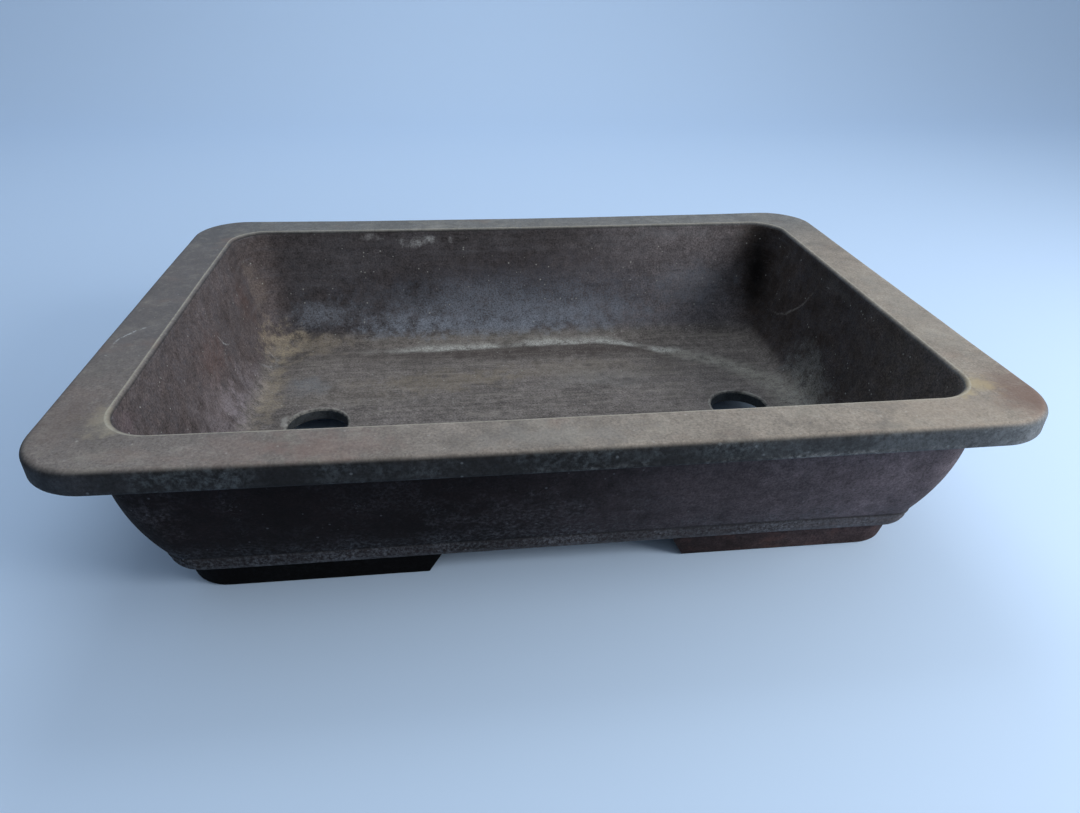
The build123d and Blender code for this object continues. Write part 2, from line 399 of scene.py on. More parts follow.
def build_foot(row, end, profile, material):
    """One L-shaped foot: an arm, a quarter turn round the pot's corner, and the other arm."""
    side_x = 1 if end == "right" else -1
    side_y = 1 if row == "back" else -1
    z, inset, radius = profile[:, 0, None], profile[:, 1, None], profile[:, 3, None]
    slant = FOOT_END_SLANT * (1 - z / FLOOR_UNDERSIDE)
    corner_x = HALF_LENGTH - inset - radius
    corner_y = HALF_WIDTH - inset - radius
    close_together = 0.02 * (1 - quarter_round(0, 90, 5)[1])
    arm = np.concatenate([close_together, np.linspace(0.045, 1, 40)])
    start_x, start_y = FOOT_GAP_X + slant, FOOT_GAP_Y + slant
    first_x = start_x + (corner_x - start_x) * arm
    first_y = np.broadcast_to(corner_y + radius, first_x.shape)
    turn = np.radians(np.linspace(90, 0, 19)[1:-1])
    arc_x, arc_y = corner_x + radius * np.cos(turn), corner_y + radius * np.sin(turn)
    last_x = np.broadcast_to(corner_x + radius, first_x.shape)
    last_y = (start_y + (corner_y - start_y) * arm)[:, ::-1]
    x = np.hstack([first_x, arc_x, last_x])
    y = np.hstack([first_y, arc_y, last_y])
    points = np.stack([side_x * x, side_y * y, np.broadcast_to(z, x.shape)], axis=2)
    count, columns = x.shape
    quads = grid_faces(count, columns, closed_rows=True)
    caps = [np.arange(count) * columns, (np.arange(count) * columns + columns - 1)[::-1]]
    marks = np.repeat(profile[:, 4:7], columns, axis=0).reshape(count, columns, 3).copy()
    marks[:, :2, 0] = marks[:, -2:, 0] = 0.8
    name = f"foot_{row}_{end}"
    return make_piece(name + "_clay", name, points.reshape(-1, 3), quads, caps,
                      marks.reshape(-1, 3), material)


# ------------------------------------------------------------------ floor
def filled_outline(outline_row, columns_x, columns_y):
    """A grid over one closed outline: straight lines across it, bent to meet its four sides."""
    front = side_points("front", outline_row, *columns_x)[0]
    back = side_points("back", outline_row, *columns_x)[0][::-1]
    right = side_points("right", outline_row, *columns_y)[0]
    left = side_points("left", outline_row, *columns_y)[0][::-1]
    u = ((front[:, 0] - front[0, 0]) / (front[-1, 0] - front[0, 0]))[:, None, None]
    v = ((left[:, 1] - left[0, 1]) / (left[-1, 1] - left[0, 1]))[None, :, None]
    across = (1 - v) * front[:, None] + v * back[:, None]
    along = (1 - u) * left[None] + u * right[None]
    front_corners = (1 - u) * front[0] + u * front[-1]
    back_corners = (1 - u) * back[0] + u * back[-1]
    return across + along - (1 - v) * front_corners - v * back_corners


def open_hole(grid, keep, centre, radius):
    """Bends a square block of the grid round a hole, and drops the cells inside it."""
    distance = np.hypot(grid[..., 0] - centre[0], grid[..., 1] - centre[1])
    i0, j0 = np.unravel_index(np.argmin(distance), distance.shape)
    i, j = np.indices(distance.shape)
    di, dj = i - i0, j - j0
    ring = np.maximum(np.maximum(np.abs(di), np.abs(dj)), 1)
    sector = [(di == ring) & (dj < ring), dj == ring, di == -ring, dj == -ring]
    degrees = [45 * dj / ring, 90 - 45 * di / ring, 180 - 45 * dj / ring, 270 + 45 * di / ring]
    turn = np.radians(np.select(sector, degrees, 0.0))
    reach = radius * (1 + RING_GROWTH * np.maximum(ring - HOLE_CELLS, 0))
    circle_x, circle_y = centre[0] + reach * np.cos(turn), centre[1] + reach * np.sin(turn)
    circle = np.stack([circle_x, circle_y, grid[..., 2]], axis=2)
    share = np.clip((BLOCK_CELLS - ring) / (BLOCK_CELLS - HOLE_CELLS), 0, 1)[..., None]
    inside_block = (ring < BLOCK_CELLS)[..., None]
    grid[:] = np.where(inside_block, grid * (1 - share) + circle * share, grid)
    cell_i, cell_j = np.indices(keep.shape)
    near_i, near_j = np.abs(cell_i + 0.5 - i0), np.abs(cell_j + 0.5 - j0)
    keep &= ~((near_i < HOLE_CELLS) & (near_j < HOLE_CELLS))


def floor_sheet(outline_row, columns_x, columns_y, holes, inside):
    """The flat part of the floor's top or underside, with its two drain holes left open."""
    grid = filled_outline(outline_row, columns_x, columns_y)
    keep = np.ones((grid.shape[0] - 1, grid.shape[1] - 1), bool)
    for centre, radius in holes:
        open_hole(grid, keep, centre, radius)
    quads = grid_faces(grid.shape[0], grid.shape[1], closed_rows=False)[keep.ravel()]
    marks = np.zeros((grid.shape[0], grid.shape[1], 3))
    marks[..., 2] = inside
    for centre, radius in holes:
        distance = np.hypot(grid[..., 0] - centre[0], grid[..., 1] - centre[1])
        marks[..., 0] = np.maximum(marks[..., 0], 1 - smooth_step(radius, radius + DRAIN_WEAR, distance))
    return grid.reshape(-1, 3), quads, marks.reshape(-1, 3)


def open_grid(rows_of_points):
    """The points of a grid in one list, and its faces; the welding joins the grid to its neighbours."""
    count, columns = rows_of_points.shape[:2]
    return rows_of_points.reshape(-1, 3), grid_faces(count, columns, closed_rows=False)


def floor_margin():
    """The upturned margin, its land under the walls and its edge, from the flat top to the underside."""
    share = np.array([0, 0.02, 0.08, 0.2, 0.38, 0.6, 0.85, 0.93, 1.0])
    cove = inner_rows(FLOOR_TOP + (WALL_FOOT - FLOOR_TOP) * share)
    edge = rows([WALL_FOOT, FLOOR_UNDERSIDE], SLAB_INSET, SLAB_INSET, SLAB_RADIUS)
    return np.vstack([cove, edge])


def drain_wall(centre, radius):
    """A drain hole's wall: a worn quarter round at each end and an upright face between them."""
    sine, cosine = quarter_round(90, 0, 6)
    drop = DRAIN_ARRIS * (1 - sine)
    flare = radius + DRAIN_ARRIS * (1 - cosine)
    upright = np.linspace(FLOOR_TOP - DRAIN_ARRIS - 0.5 * MM, FLOOR_UNDERSIDE + DRAIN_ARRIS + 0.5 * MM, 5)
    z = np.concatenate([FLOOR_TOP - drop, upright, (FLOOR_UNDERSIDE + drop)[::-1]])
    reach = np.concatenate([flare, np.full_like(upright, radius), flare[::-1]])
    turn = np.radians(np.linspace(0, 360, 8 * HOLE_CELLS + 1))
    x = centre[0] + reach[:, None] * np.cos(turn)
    y = centre[1] + reach[:, None] * np.sin(turn)
    worn = np.concatenate([np.full_like(flare, 1.0), np.zeros_like(upright), np.full_like(flare, 0.5)])
    bore = np.concatenate([np.linspace(0, 1, len(flare)), np.ones_like(upright), np.ones_like(flare)])
    return np.stack([x, y, np.broadcast_to(z[:, None], x.shape)], axis=2), worn, bore


def build_floor(material):
    """The floor slab: top sheet, upturned margin, drain hole walls and underside, welded into one solid."""
    margin = floor_margin()
    holes = [(m["pos_m"][:2], m["dims"]["r_mm"] * MM + DRAIN_ARRIS) for m in DRAIN_HOLES]
    flat = margin[0]
    columns_x = side_columns(2 * (HALF_LENGTH - flat[2] - flat[3]), guard=False)
    columns_y = side_columns(2 * (HALF_WIDTH - flat[1] - flat[3]), guard=False)
    top = floor_sheet(margin[:1], columns_x, columns_y, holes, 1.0)
    bottom = floor_sheet(margin[-1:], columns_x, columns_y, holes, 0.0)
    bottom = (bottom[0], bottom[1][:, ::-1], np.zeros_like(bottom[2]))
    parts = [top, bottom]
    for side in SIDES:
        angle, place = columns_x if side in ("front", "back") else columns_y
        points, quads = open_grid(side_points(side, margin, angle, place))
        marks = np.repeat(margin[:, 4:7], len(angle), axis=0)
        parts.append((points, quads, marks))
    for centre, radius in holes:
        wall, worn, bore = drain_wall(centre, radius - DRAIN_ARRIS)
        points, quads = open_grid(wall)
        marks = np.zeros((len(points), 3))
        marks[:, 0] = np.repeat(worn, wall.shape[1])
        marks[:, 1] = np.repeat(bore, wall.shape[1])
        marks[:, 2] = 1 - marks[:, 1]
        parts.append((points, quads[:, ::-1], marks))
    offset, points, quads, marks = 0, [], [], []
    for part_points, part_quads, part_marks in parts:
        points.append(part_points)
        quads.append(part_quads + offset)
        marks.append(part_marks)
        offset += len(part_points)
    return make_piece("floor_slab_clay", "floor_slab", np.vstack(points), np.vstack(quads), [],
                      np.vstack(marks), material)


# ------------------------------------------------------------------ shader building
def tint(red, green, blue):
    """A colour written as display values from 0 to 255, turned into the linear values shaders use."""
    share = np.array([red, green, blue]) / 255
    linear = np.where(share <= 0.04045, share / 12.92, ((share + 0.055) / 1.055) ** 2.4)
    return (*linear.tolist(), 1)


def add(tree, kind, inputs=None, **settings):
    """A node with its settings made and each input linked to a socket or given a value."""
    node = tree.nodes.new("ShaderNode" + kind)
    for name, value in settings.items():
        setattr(node, name, value)
    for name, value in (inputs or {}).items():
        if isinstance(value, bpy.types.NodeSocket):
            tree.links.new(value, node.inputs[name])
        else:
            node.inputs[name].default_value = value
    return node


def pot_point(tree):
    """The point on the pot being shaded, in metres."""
    return add(tree, "TexCoord").outputs["Object"]


def math_of(tree, operation, *values):
    """One arithmetic step."""
    return add(tree, "Math", dict(enumerate(values)), operation=operation).outputs[0]


def ramp(tree, value, low, high):
    """0 where the value is at low, 1 where it is at high, with a smooth rise between them."""
    node = add(tree, "MapRange", {"Value": value, "From Min": low, "From Max": high},
               interpolation_type="SMOOTHSTEP")
    return node.outputs["Result"]


def noise(tree, vector, size, detail=3.0, roughness=0.55):
    """Noise from 0 to 1 whose blotches are about as large as size."""
    inputs = {"Vector": vector, "Scale": 1 / size, "Detail": detail, "Roughness": roughness}
    return add(tree, "TexNoise", inputs).outputs["Fac"]


def stretched(tree, vector, scale, turn=(0, 0, 0)):
    """The same place, turned and then squeezed along its axes, for grain that runs one way."""
    radians = [math.radians(degrees) for degrees in turn]
    return add(tree, "Mapping", {"Vector": vector, "Rotation": radians, "Scale": scale}).outputs["Vector"]


def blend(tree, amount, below, above, mode="MIX"):
    """One colour over another."""
    node = add(tree, "Mix", {0: amount, 6: below, 7: above}, data_type="RGBA", blend_type=mode)
    return node.outputs[2]


def mark(tree, name):
    """A mark carried by the piece's mesh."""
    return add(tree, "Attribute", attribute_name=name).outputs["Fac"]


def product(tree, *factors):
    """All the factors multiplied together."""
    total = factors[0]
    for factor in factors[1:]:
        total = math_of(tree, "MULTIPLY", total, factor)
    return total


def make_group(name, takes, gives):
    """A shader group with named inputs and outputs, and its first and last nodes."""
    group = bpy.data.node_groups.new(name, "ShaderNodeTree")
    for title, kind, value in takes:
        socket = group.interface.new_socket(title, in_out="INPUT", socket_type="NodeSocket" + kind)
        socket.default_value = value
    for title, kind in gives:
        group.interface.new_socket(title, in_out="OUTPUT", socket_type="NodeSocket" + kind)
    return group, group.nodes.new("NodeGroupInput"), group.nodes.new("NodeGroupOutput")


def use(tree, group, **values):
    """A group placed in a tree, with its inputs given by name."""
    node = tree.nodes.new("ShaderNodeGroup")
    node.node_tree = group
    for name, value in values.items():
        if isinstance(value, bpy.types.NodeSocket):
            tree.links.new(value, node.inputs[name])
        else:
            node.inputs[name].default_value = value
    return node


def build_patch_group():
    """An egg-shaped patch with a ragged edge, for stains and for painted shade: 1 at its centre, 0 outside
    its reach.
    """
    group, takes, gives = make_group(
        "ragged_patch",
        [("Centre", "Vector", (0, 0, 0)), ("Reach", "Vector", (0.02, 0.02, 0.02)), ("Ragged", "Float", 0.5)],
        [("Mask", "Float")])
    here = pot_point(group)
    offset = add(group, "VectorMath", {0: here, 1: takes.outputs["Centre"]}, operation="SUBTRACT").outputs[0]
    scaled = add(group, "VectorMath", {0: offset, 1: takes.outputs["Reach"]}, operation="DIVIDE").outputs[0]
    far = add(group, "VectorMath", {0: scaled}, operation="LENGTH").outputs["Value"]
    rough = math_of(group, "SUBTRACT", noise(group, here, 9 * MM, 5, 0.65), 0.5)
    edge = math_of(group, "ADD", far, product(group, rough, takes.outputs["Ragged"], 3.0))
    group.links.new(ramp(group, edge, 1.05, 0.15), gives.inputs["Mask"])
    return group


def build_speck_group():
    """Scattered small dots, each a different size, with Share of the cells having one."""
    group, takes, gives = make_group(
        "specks", [("Cell", "Float", 0.004), ("Share", "Float", 0.2)], [("Mask", "Float")])
    scale = math_of(group, "DIVIDE", 1.0, takes.outputs["Cell"])
    cells = add(group, "TexVoronoi", {"Vector": pot_point(group), "Scale": scale})
    pick = add(group, "SeparateColor", {0: cells.outputs["Color"]})
    chosen = math_of(group, "LESS_THAN", pick.outputs["Red"], takes.outputs["Share"])
    size = math_of(group, "MULTIPLY_ADD", pick.outputs["Green"], 0.16, 0.05)
    dot = math_of(group, "DIVIDE", cells.outputs["Distance"], size)
    group.links.new(product(group, ramp(group, dot, 1.2, 0.6), chosen), gives.inputs["Mask"])
    return group


def build_scratch_group():
    """Fine scratches: thin contour lines of noise that is stretched along one direction."""
    group, takes, gives = make_group(
        "scratches", [("Turn", "Vector", (0, 0, 0)), ("Length", "Float", 0.05)], [("Mask", "Float")])
    here = add(group, "VectorRotate", {"Vector": pot_point(group), "Rotation": takes.outputs["Turn"]},
               rotation_type="EULER_XYZ").outputs[0]
    long = add(group, "CombineXYZ", {0: takes.outputs["Length"], 1: 1.0, 2: 1.0}).outputs[0]
    thin = add(group, "VectorMath", {0: here, 1: long}, operation="MULTIPLY").outputs[0]
    waves = noise(group, thin, 3 * MM, 1, 0.5)
    line = math_of(group, "ABSOLUTE", math_of(group, "SUBTRACT", waves, 0.5))
    some = ramp(group, noise(group, pot_point(group), 16 * MM, 2), 0.55, 0.68)
    group.links.new(product(group, ramp(group, line, 0.012, 0.003), some), gives.inputs["Mask"])
    return group


def build_ring_group():
    """A thin curved scratch: the part of a sphere's surface that the clay cuts."""
    group, takes, gives = make_group(
        "curved_scratch",
        [("Centre", "Vector", (0, 0, 0)), ("Radius", "Float", 0.05), ("Width", "Float", 0.001)],
        [("Mask", "Float")])
    here = pot_point(group)
    away = add(group, "VectorMath", {0: here, 1: takes.outputs["Centre"]}, operation="DISTANCE")
    away = away.outputs["Value"]
    shaken = math_of(group, "ADD", away, product(group, noise(group, here, 12 * MM, 4), 0.005))
    gap = math_of(group, "ABSOLUTE", math_of(group, "SUBTRACT", shaken, takes.outputs["Radius"]))
    line = ramp(group, math_of(group, "DIVIDE", gap, takes.outputs["Width"]), 1.0, 0.3)
    broken = ramp(group, noise(group, here, 2.5 * MM, 3, 0.7), 0.36, 0.56)
    group.links.new(product(group, line, broken), gives.inputs["Mask"])
    return group


def build_grain_group():
    """Fired clay's grain: soft blotches, a middle mottle, fine sand, and a height for bump."""
    group, takes, gives = make_group(
        "clay_grain", [("Size", "Float", 1.0)],
        [("Blotch", "Float"), ("Mottle", "Float"), ("Sand", "Float"), ("Height", "Float")])
    scale = math_of(group, "DIVIDE", 1.0, takes.outputs["Size"])
    here = add(group, "VectorMath", {0: pot_point(group), "Scale": scale}, operation="SCALE").outputs[0]
    blotch = noise(group, here, 34 * MM, 4, 0.6)
    mottle = noise(group, here, 6 * MM, 5, 0.65)
    sand = noise(group, here, 1.2 * MM, 3, 0.75)
    pits = add(group, "TexVoronoi", {"Vector": here, "Scale": 1 / (2.6 * MM)}).outputs["Distance"]
    pits = ramp(group, pits, 0.06, 0.24)
    height = math_of(group, "ADD", product(group, mottle, 0.55), product(group, sand, 0.3))
    height = math_of(group, "ADD", height, product(group, pits, 0.22))
    for title, value in (("Blotch", blotch), ("Mottle", mottle), ("Sand", sand), ("Height", height)):
        group.links.new(value, gives.inputs[title])
    return group


patch_group = build_patch_group()
speck_group = build_speck_group()
scratch_group = build_scratch_group()
ring_group = build_ring_group()
grain_group = build_grain_group()


def patch(tree, centre, reach, ragged=0.5):
    """A patch's mask, for stains and for painted shade, with its centre and reach in millimetres."""
    centre, reach = ([value * MM for value in triple] for triple in (centre, reach))
    return use(tree, patch_group, Centre=centre, Reach=reach, Ragged=ragged).outputs["Mask"]


def specks(tree, cell, share):
    """A mask of scattered dots, one to a cell of the given size in millimetres at most."""
    return use(tree, speck_group, Cell=cell * MM, Share=share).outputs["Mask"]


def curved_scratch(tree, centre, radius, width, window, reach):
    """A curved scratch that shows only inside a window, all in millimetres."""
    middle = [value * MM for value in centre]
    line = use(tree, ring_group, Centre=middle, Radius=radius * MM, Width=width * MM).outputs["Mask"]
    return product(tree, line, patch(tree, window, reach, 0.15))


def paint(tree, colour, layers):
    """Layers over a colour, each one a mask, a strength and the colour laid on."""
    for mask, strength, above in layers:
        colour = blend(tree, product(tree, mask, strength), colour, above)
    return colour


def toned(tree, colour, grain, blotch=0.35, mottle=0.3, sand=0.25):
    """A colour made lighter and darker by the clay's grain."""
    for name, amount in (("Blotch", blotch), ("Mottle", mottle), ("Sand", sand)):
        swing = add(tree, "MapRange", {"Value": grain.outputs[name], "From Min": 0.25, "From Max": 0.75,
                                       "To Min": 1 - amount, "To Max": 1 + amount}).outputs["Result"]
        shade = add(tree, "CombineColor", {0: swing, 1: swing, 2: swing}).outputs[0]
        colour = blend(tree, 1.0, colour, shade, "MULTIPLY")
    return colour


def coordinates(tree):
    """The point being shaded, as three numbers."""
    split = add(tree, "SeparateXYZ", {0: pot_point(tree)})
    return split.outputs[0], split.outputs[1], split.outputs[2]


# ------------------------------------------------------------------ clay colours
BASIN_BACK = tint(66, 63, 65)
BASIN_LEFT = tint(86, 79, 79)
BASIN_RIGHT = tint(60, 54, 52)
BASIN_FLOOR = tint(110, 105, 102)
MINERAL_BLUE = tint(138, 146, 158)
MINERAL_WHITE = tint(196, 200, 202)
BEIGE = tint(158, 147, 128)
OCHRE = tint(142, 131, 112)
LILAC = tint(146, 139, 144)
RUST = tint(104, 76, 68)
# Near black for painted shade: in the notch at the walls' foot and down the basin's back-right corner.
PAINTED_SHADE = tint(16, 15, 16)


def build_basin_group():
    """The clay inside the pot, with its stains where they lie on the walls and floor, painted shade in the
    back-right corner and painted shadow on the floor's right part.
    """
    group, _, gives = make_group("basin_clay", [], [("Color", "Color"), ("Height", "Float")])
    x, y, z = coordinates(group)
    here = pot_point(group)
    grain = use(group, grain_group)
    on_left = ramp(group, x, -160 * MM, -184 * MM)
    on_right = ramp(group, x, 158 * MM, 182 * MM)
    off_floor = ramp(group, z, FLOOR_TOP + 0.5 * MM, FLOOR_TOP + 9 * MM)
    walls = blend(group, ramp(group, x, 0.0, 130 * MM), BASIN_BACK, tint(99, 95, 98))
    walls = blend(group, on_left, walls, BASIN_LEFT)
    right_wall = blend(group, ramp(group, y, 10 * MM, -110 * MM), BASIN_RIGHT, tint(92, 86, 82))
    walls = blend(group, on_right, walls, right_wall)
    colour = blend(group, off_floor, BASIN_FLOOR, walls)
    colour = toned(group, colour, grain, 0.24, 0.40, 0.75)

    on_floor = math_of(group, "SUBTRACT", 1.0, off_floor)
    streaks = noise(group, stretched(group, here, (0.07, 1, 0.6)), 3.0 * MM, 5, 0.7)
    bands = noise(group, stretched(group, here, (0.07, 0.07, 1)), 4.5 * MM, 5, 0.7)
    light_streak = product(group, ramp(group, streaks, 0.5, 0.74), on_floor)
    dark_streak = product(group, ramp(group, streaks, 0.5, 0.28), on_floor)
    on_back = product(group, ramp(group, y, 84 * MM, 104 * MM), off_floor)
    powder = ramp(group, noise(group, here, 1.1 * MM, 4, 0.8), 0.38, 0.60)
    cloud = ramp(group, noise(group, stretched(group, here, (0.45, 1, 1)), 15 * MM, 5, 0.65), 0.34, 0.66)
    dusting = math_of(group, "MULTIPLY_ADD", powder, 0.8, 0.2)

    wander = product(group, math_of(group, "SUBTRACT", noise(group, here, 26 * MM, 1), 0.5), 0.010)
    shore = math_of(group, "ADD", y, wander)
    outwards = math_of(group, "ADD", product(group, ramp(group, x, -84 * MM, 50 * MM), 5.5 * MM), 86 * MM)
    turning_in = product(group, ramp(group, x, 60 * MM, 114 * MM), 21 * MM)
    shoreline = math_of(group, "SUBTRACT", outwards, turning_in)
    past_line = math_of(group, "SUBTRACT", shore, shoreline)
    broken = ramp(group, noise(group, here, 6 * MM, 6, 0.78), 0.28, 0.56)
    along_back = product(group, ramp(group, x, -130 * MM, -60 * MM), ramp(group, x, 128 * MM, 100 * MM))
    patchy = ramp(group, noise(group, here, 30 * MM, 3, 0.6), 0.30, 0.52)
    tide_front = ramp(group, past_line, -4.0 * MM, 1.8 * MM)
    tide_back = ramp(group, past_line, 11 * MM, 1.0 * MM)
    tide = product(group, tide_front, tide_back, broken, along_back, dusting, patchy)
    ledge_front = ramp(group, past_line, -17 * MM, -3 * MM)
    ledge_back = ramp(group, past_line, 0.5 * MM, -2 * MM)
    ledge = product(group, ledge_front, ledge_back, along_back)
    crumbs = product(group, specks(group, 2.2, 0.5), patch(group, (84, 92, 24), (30, 16, 12), 0.8))
    right_scratch = curved_scratch(group, (188, 92, 103), 59, 1.2, (188, 60, 62), (24, 40, 34))
    low_scratch = curved_scratch(group, (-170, 74, 42), 22, 0.7, (-186, 74, 24), (20, 22, 10))
    left_scratch = curved_scratch(group, (-186, 44, 76), 22, 0.6, (-188, 28, 60), (20, 12, 12))

    oval = math_of(group, "SQRT", math_of(
        group, "ADD",
        math_of(group, "POWER", math_of(group, "DIVIDE", x, 171 * MM), 2.0),
        math_of(group, "POWER", math_of(group, "DIVIDE", shore, 90 * MM), 2.0)))
    ridge = math_of(group, "ABSOLUTE", math_of(group, "SUBTRACT", oval, 1.0))
    curve = product(group, ramp(group, ridge, 0.11, 0.01), ramp(group, x, 88 * MM, 125 * MM), broken, dusting)

    def stain_and_shade(centre, reach, ragged, strength, colour):
        """A patch of powdery deposit; on the floor's right part and low in the back-right corner it is
        painted shade.
        """
        return product(group, patch(group, centre, reach, ragged), dusting), strength, colour

    layers = [
        (light_streak, 0.44, tint(154, 149, 140)), (dark_streak, 0.50, tint(70, 65, 64)),
        (product(group, ramp(group, bands, 0.5, 0.74), on_back), 0.30, tint(104, 104, 110)),
        (product(group, ramp(group, bands, 0.5, 0.28), on_back), 0.40, tint(44, 38, 38)),
        (product(group, cloud, powder, off_floor), 0.22, tint(112, 116, 126)),
        stain_and_shade((-56, 42, 23), (66, 19, 12), 0.9, 0.42, OCHRE),
        stain_and_shade((-112, 32, 23), (56, 26, 12), 0.9, 0.12, OCHRE),
        stain_and_shade((30, 50, 23), (84, 18, 12), 0.9, 0.30, OCHRE),
        stain_and_shade((-145, 42, 23), (19, 17, 9), 0.8, 0.50, tint(134, 140, 146)),
        stain_and_shade((-30, -4, 23), (24, 5, 6), 1.0, 0.50, tint(160, 154, 146)),
        stain_and_shade((0, 100, 26), (140, 9, 8), 0.8, 0.40, tint(146, 144, 136)),
        stain_and_shade((20, 77, 24), (130, 11, 8), 0.8, 0.70, tint(62, 54, 52)),
        # Painted shadow and shade: the next two darken the floor's right part, where the right wall's shadow
        # falls, and the back-right corner low down.
        stain_and_shade((110, 40, 23), (46, 48, 8), 0.6, 0.34, tint(66, 63, 64)),
        stain_and_shade((148, 112, 22), (26, 22, 16), 0.6, 0.55, tint(48, 46, 48)),
        stain_and_shade((48, 38, 22), (50, 22, 8), 0.8, 0.34, tint(146, 146, 144)),
        stain_and_shade((-12, 120, 38), (130, 22, 27), 0.40, 0.52, MINERAL_BLUE),
        stain_and_shade((136, 122, 54), (40, 18, 24), 0.5, 0.44, MINERAL_BLUE),
        stain_and_shade((-20, 112, 28), (90, 14, 10), 0.9, 0.60, MINERAL_BLUE),
        stain_and_shade((52, 118, 31), (80, 18, 18), 0.45, 0.50, MINERAL_BLUE),
        stain_and_shade((-145, 120, 38), (26, 14, 16), 0.6, 0.68, MINERAL_BLUE),
        stain_and_shade((-88, 114, 29), (48, 14, 12), 0.9, 0.62, MINERAL_BLUE),
        stain_and_shade((10, 122, 50), (170, 24, 36), 0.6, 0.24, tint(108, 120, 140)),
        stain_and_shade((-69, 124, 91), (20, 10, 5), 1.0, 0.60, MINERAL_WHITE),
        stain_and_shade((-102, 124, 94), (18, 9, 4), 1.0, 0.36, MINERAL_WHITE),
        stain_and_shade((20, 124, 74), (150, 14, 14), 0.9, 0.32, tint(58, 48, 46)),
        stain_and_shade((120, 124, 92), (70, 14, 6), 0.9, 0.30, tint(120, 124, 130)),
        stain_and_shade((-176, 97, 22), (22, 30, 19), 1.1, 0.80, BEIGE),
        stain_and_shade((-150, 100, 25), (36, 15, 9), 1.1, 0.50, BEIGE),
        stain_and_shade((-168, 34, 24), (9, 62, 7), 1.0, 0.74, BEIGE),
        stain_and_shade((-187, 114, 66), (8, 9, 44), 1.2, 0.34, tint(134, 122, 112)),
        stain_and_shade((-188, 6, 64), (20, 30, 22), 0.9, 0.34, RUST),
        stain_and_shade((-186, 92, 66), (20, 18, 26), 0.9, 0.30, RUST),
        stain_and_shade((-185, -24, 40), (26, 46, 20), 1.1, 0.40, LILAC),
        stain_and_shade((-185, 34, 30), (18, 28, 13), 1.1, 0.40, LILAC),
        stain_and_shade((-186, -2, 34), (16, 15, 17), 1.2, 0.62, LILAC),
        stain_and_shade((-193, -106, 90), (16, 14, 14), 0.8, 0.36, tint(124, 106, 112)),
        stain_and_shade((184, 18, 40), (20, 22, 20), 1.1, 0.72, tint(118, 120, 120)),
        stain_and_shade((182, -8, 34), (16, 28, 16), 1.1, 0.60, tint(118, 120, 120)),
        stain_and_shade((190, 26, 92), (12, 36, 6), 1.0, 0.26, tint(110, 110, 108)),
        # Painted shade: near black down the back-right corner, where the right wall keeps the light off.
        (patch(group, (186, 124, 56), (12, 25, 52), 0.2), 0.98, PAINTED_SHADE),
        (ledge, 0.34, tint(58, 50, 48)), (tide, 1.0, tint(198, 201, 196)), (curve, 0.60, tint(164, 164, 154)),
        (right_scratch, 0.50, tint(140, 138, 134)),
        (low_scratch, 0.55, MINERAL_WHITE),
        (left_scratch, 0.45, MINERAL_WHITE),
        (use(group, scratch_group, Turn=(0.3, 0.5, 1.1), Length=0.10).outputs[0], 0.20, LILAC),
        (use(group, scratch_group, Turn=(0.9, 0.2, 0.1), Length=0.14).outputs[0], 0.16, LILAC),
        (crumbs, 0.8, MINERAL_WHITE),
        (specks(group, 3.0, 0.16), 0.60, tint(176, 178, 174)),
        (specks(group, 1.7, 0.14), 0.32, tint(140, 142, 146)),
    ]
    group.links.new(paint(group, colour, layers), gives.inputs["Color"])
    group.links.new(grain.outputs["Height"], gives.inputs["Height"])
    return group


def build_shell_group():
    """The pot's dark outside: near black at the left and greyer to the right, partly painted shade, with pale
    dust low down and painted shade in the notch.
    """
    group, takes, gives = make_group(
        "shell_clay",
        [("Dark", "Color", (0, 0, 0, 1)), ("Pale", "Color", (0, 0, 0, 1)), ("Dust", "Float", 0.3)],
        [("Color", "Color"), ("Height", "Float")])
    x, _, z = coordinates(group)
    here = pot_point(group)
    grain = use(group, grain_group)
    # Darker to the left and greyer to the right: partly the clay's tone, partly painted shade, as less light
    # reaches the left.
    rightward = ramp(group, x, -60 * MM, 235 * MM)
    colour = blend(group, rightward, takes.outputs["Dark"], takes.outputs["Pale"])
    colour = toned(group, colour, grain, 0.34, 0.42, 0.60)
    low = ramp(group, z, 40 * MM, 22 * MM)
    dust = ramp(group, noise(group, here, 1.9 * MM, 5, 0.75), 0.40, 0.74)
    cloud = ramp(group, noise(group, here, 26 * MM, 4, 0.6), 0.42, 0.66)
    # Painted shade along the notch where the walls meet the band.
    from_notch = math_of(group, "ABSOLUTE", math_of(group, "SUBTRACT", z, WALL_FOOT))
    notch_shade = ramp(group, from_notch, 1.5 * MM, 0.3 * MM)
    layers = [
        (product(group, low, dust), 0.70, tint(104, 108, 114)),
        (product(group, low, dust, cloud), 0.70, tint(120, 124, 130)),
        (product(group, patch(group, (-187, -128, 58), (26, 20, 26), 0.9), dust), 1.0, tint(84, 78, 80)),
        (product(group, patch(group, (-12, -128, 44), (62, 20, 22), 0.9), dust), 1.4, tint(84, 82, 86)),
        (notch_shade, 1.0, PAINTED_SHADE),
        (product(group, cloud, dust), 0.26, tint(112, 114, 122)),
        (specks(group, 3.4, 0.12), 0.6, tint(120, 122, 128)),
        (use(group, scratch_group, Turn=(0.2, 0.1, 0.7), Length=0.16).outputs[0], 0.4, tint(116, 116, 122)),
        (mark(group, "arris"), 0.2, tint(120, 122, 126)),
    ]
    # This amount scales the dust layers and the notch's painted shade alike.
    share = takes.outputs["Dust"]
    dusted_and_shaded = [(product(group, mask, share), strength, above) for mask, strength, above in layers]
    group.links.new(paint(group, colour, dusted_and_shaded), gives.inputs["Color"])
    group.links.new(grain.outputs["Height"], gives.inputs["Height"])
    return group


basin_group = build_basin_group()
shell_group = build_shell_group()


